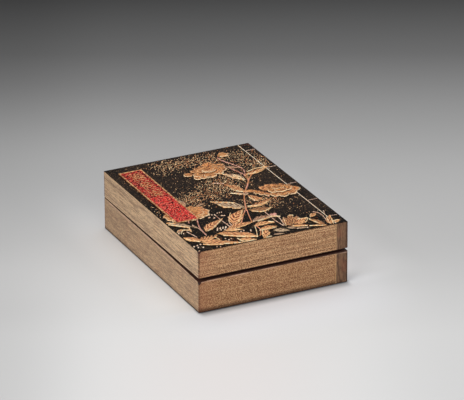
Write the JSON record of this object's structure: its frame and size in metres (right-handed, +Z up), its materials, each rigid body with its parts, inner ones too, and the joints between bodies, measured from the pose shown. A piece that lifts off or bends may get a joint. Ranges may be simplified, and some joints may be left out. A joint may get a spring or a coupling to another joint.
{
  "type": "nested box",
  "caption": "Small flat lacquer box in the form of stacked thread-bound books, with a lift-off lid over an inner riser and flowers in low relief.",
  "frame": {"origin": "middle of the underside, on the surface that the box stands on", "axes": "+X towards the spine of the books, +Y along the books towards their head, +Z up"},
  "size_m": [0.089, 0.1218, 0.0363],
  "materials": {
    "page_gold": "matt sprinkled gold lacquer over wood, ruled with fine page lines",
    "black_lacquer": "polished dark lacquer sprinkled with gold dust",
    "raised_gold": "raised gold lacquer, satin",
    "red_lacquer": "red lacquer speckled with gold"
  },
  "bodies": {
    "root": {"box_base": "page_gold", "box_lid": "black_lacquer"}
  },
  "joints": []
}
